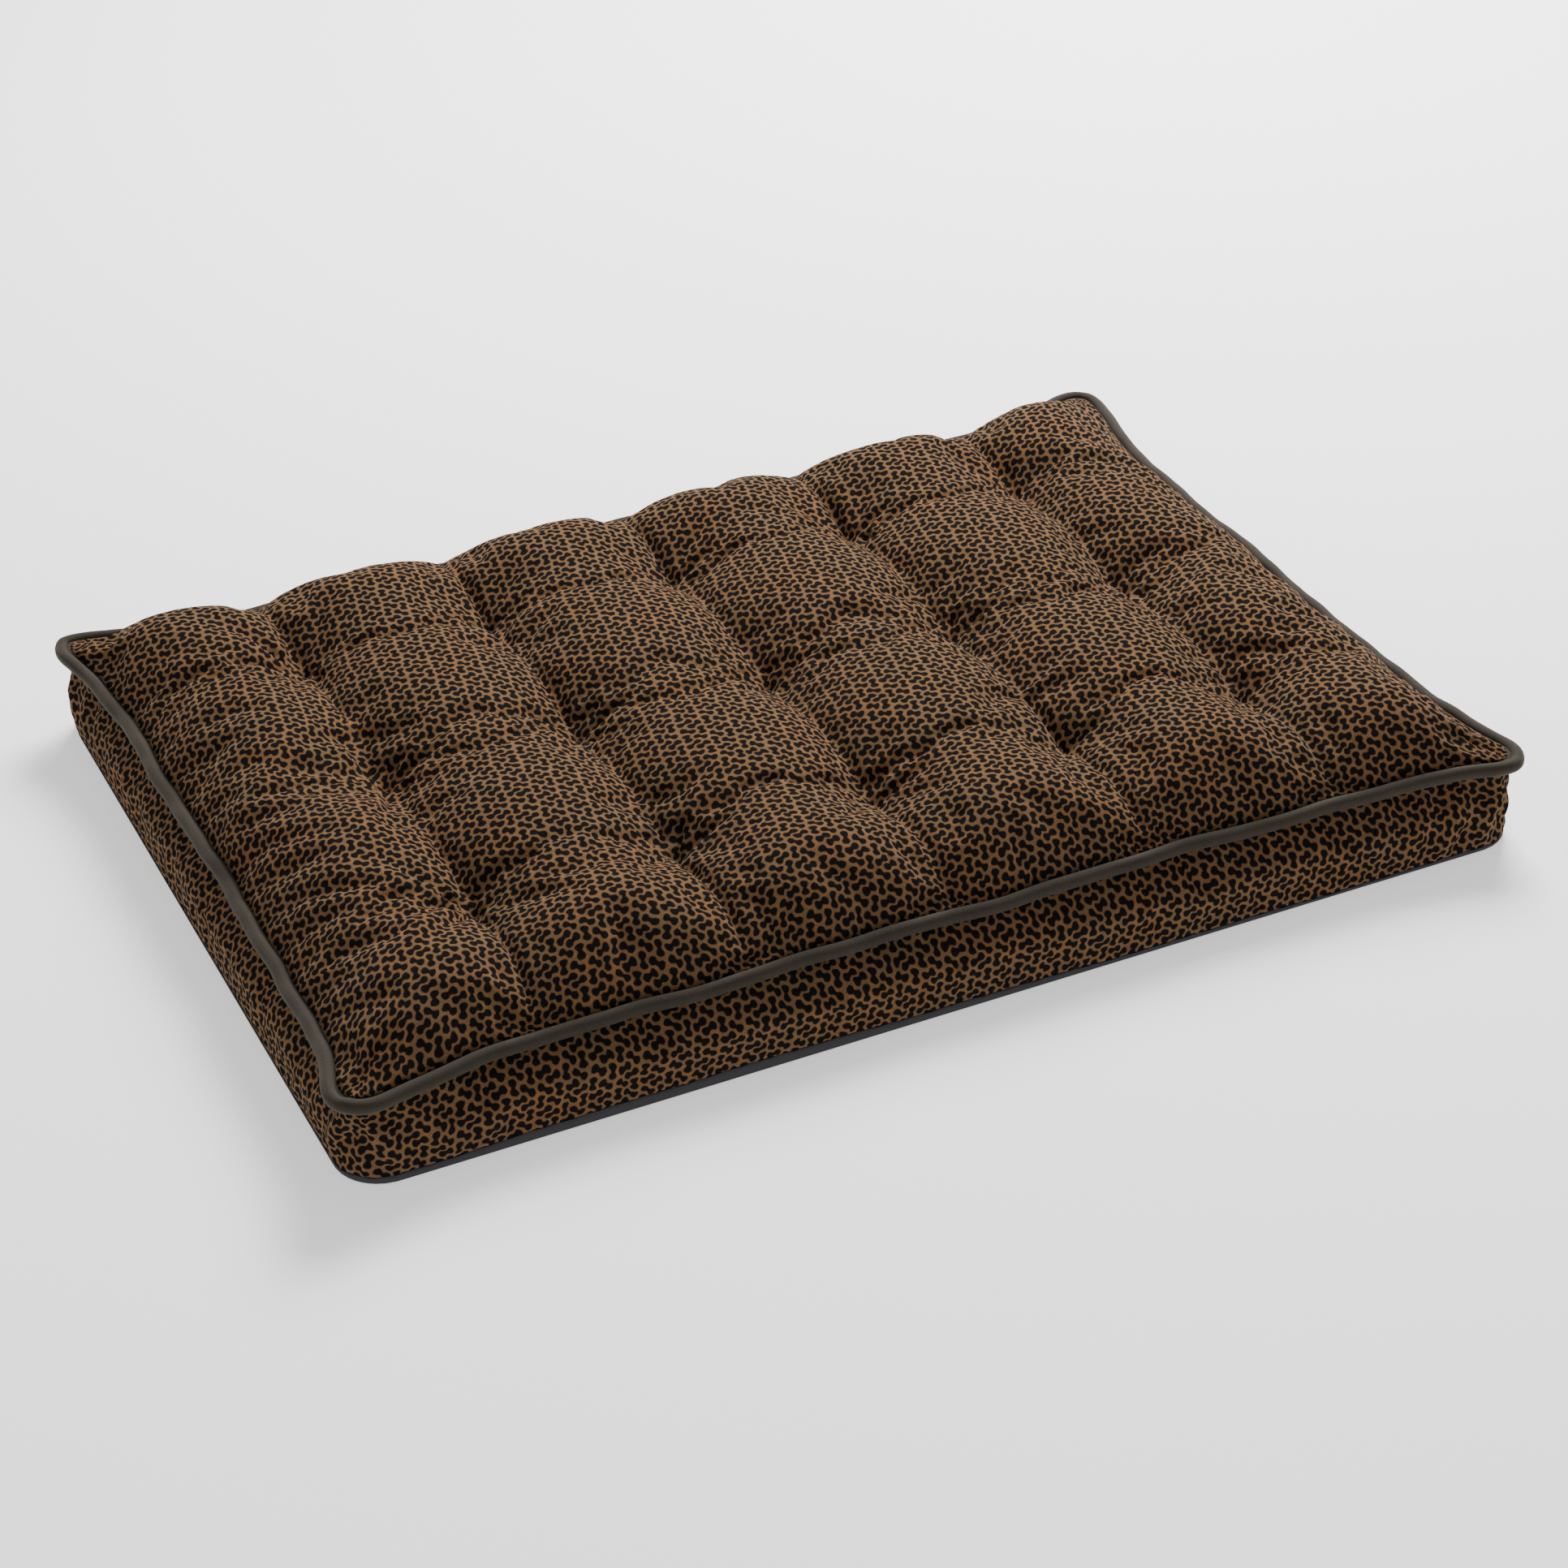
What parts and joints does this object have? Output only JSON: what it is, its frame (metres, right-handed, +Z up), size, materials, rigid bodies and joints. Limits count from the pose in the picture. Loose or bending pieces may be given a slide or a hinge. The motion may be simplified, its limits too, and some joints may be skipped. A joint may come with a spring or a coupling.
{
  "type": "pet cushion bed",
  "caption": "Rectangular pet cushion bed: tufted, quilted pillow top piped to a boxed cover with a zipped back, over an inner cushion.",
  "frame": {"origin": "middle of the underside", "axes": "+X along the long side, +Y towards the zipped back wall, +Z up"},
  "size_m": [0.9122, 0.6615, 0.1122],
  "materials": {
    "print_cloth": "short velvet pile, two-tone interlocking print",
    "piping_cloth": "bias-cut velvet",
    "base_cloth": "plain woven",
    "filling": "polyester fibre",
    "liner_cloth": "non-woven",
    "thread": "twisted thread",
    "zip_nylon": "moulded nylon on woven tape",
    "zip_metal": "antiqued die-cast"
  },
  "bodies": {
    "cushion": {"base_panel": "base_cloth", "gusset_band": "print_cloth", "inner_fibre_slab": "filling", "inner_liner": "liner_cloth", "pillow_filling": "filling", "piping_cord": "liner_cloth", "piping_cover": "piping_cloth", "quilt_scrim": "liner_cloth", "top_panel": "print_cloth", "tuft_tie_r1_c1": "thread", "tuft_tie_r1_c2": "thread", "tuft_tie_r1_c3": "thread", "tuft_tie_r1_c4": "thread", "tuft_tie_r1_c5": "thread", "tuft_tie_r2_c1": "thread", "tuft_tie_r2_c2": "thread", "tuft_tie_r2_c3": "thread", "tuft_tie_r2_c4": "thread", "tuft_tie_r2_c5": "thread", "tuft_tie_r3_c1": "thread", "tuft_tie_r3_c2": "thread", "tuft_tie_r3_c3": "thread", "tuft_tie_r3_c4": "thread", "tuft_tie_r3_c5": "thread", "zip_panel_lower": "print_cloth", "zip_panel_upper": "print_cloth", "zip_stop_closed_end": "zip_metal", "zip_stop_open_end": "zip_metal", "zip_tape_lower": "zip_nylon", "zip_tape_upper": "zip_nylon", "zip_teeth_lower": "zip_nylon", "zip_teeth_upper": "zip_nylon"},
    "zip_slider": {"zip_slider": "zip_metal"},
    "zip_pull": {"zip_pull": "zip_metal"}
  },
  "joints": [
    {"name": "zip_slide", "type": "slide", "parent": "cushion", "child": "zip_slider", "axis": [-1, 0, 0], "range_m": [0, 0.769]},
    {"name": "zip_pull_flip", "type": "hinge", "parent": "zip_slider", "child": "zip_pull", "pos_m": [0.3845, 0.331, 0.023], "axis": [0, 0, 1], "range_deg": [-180, 0]}
  ]
}
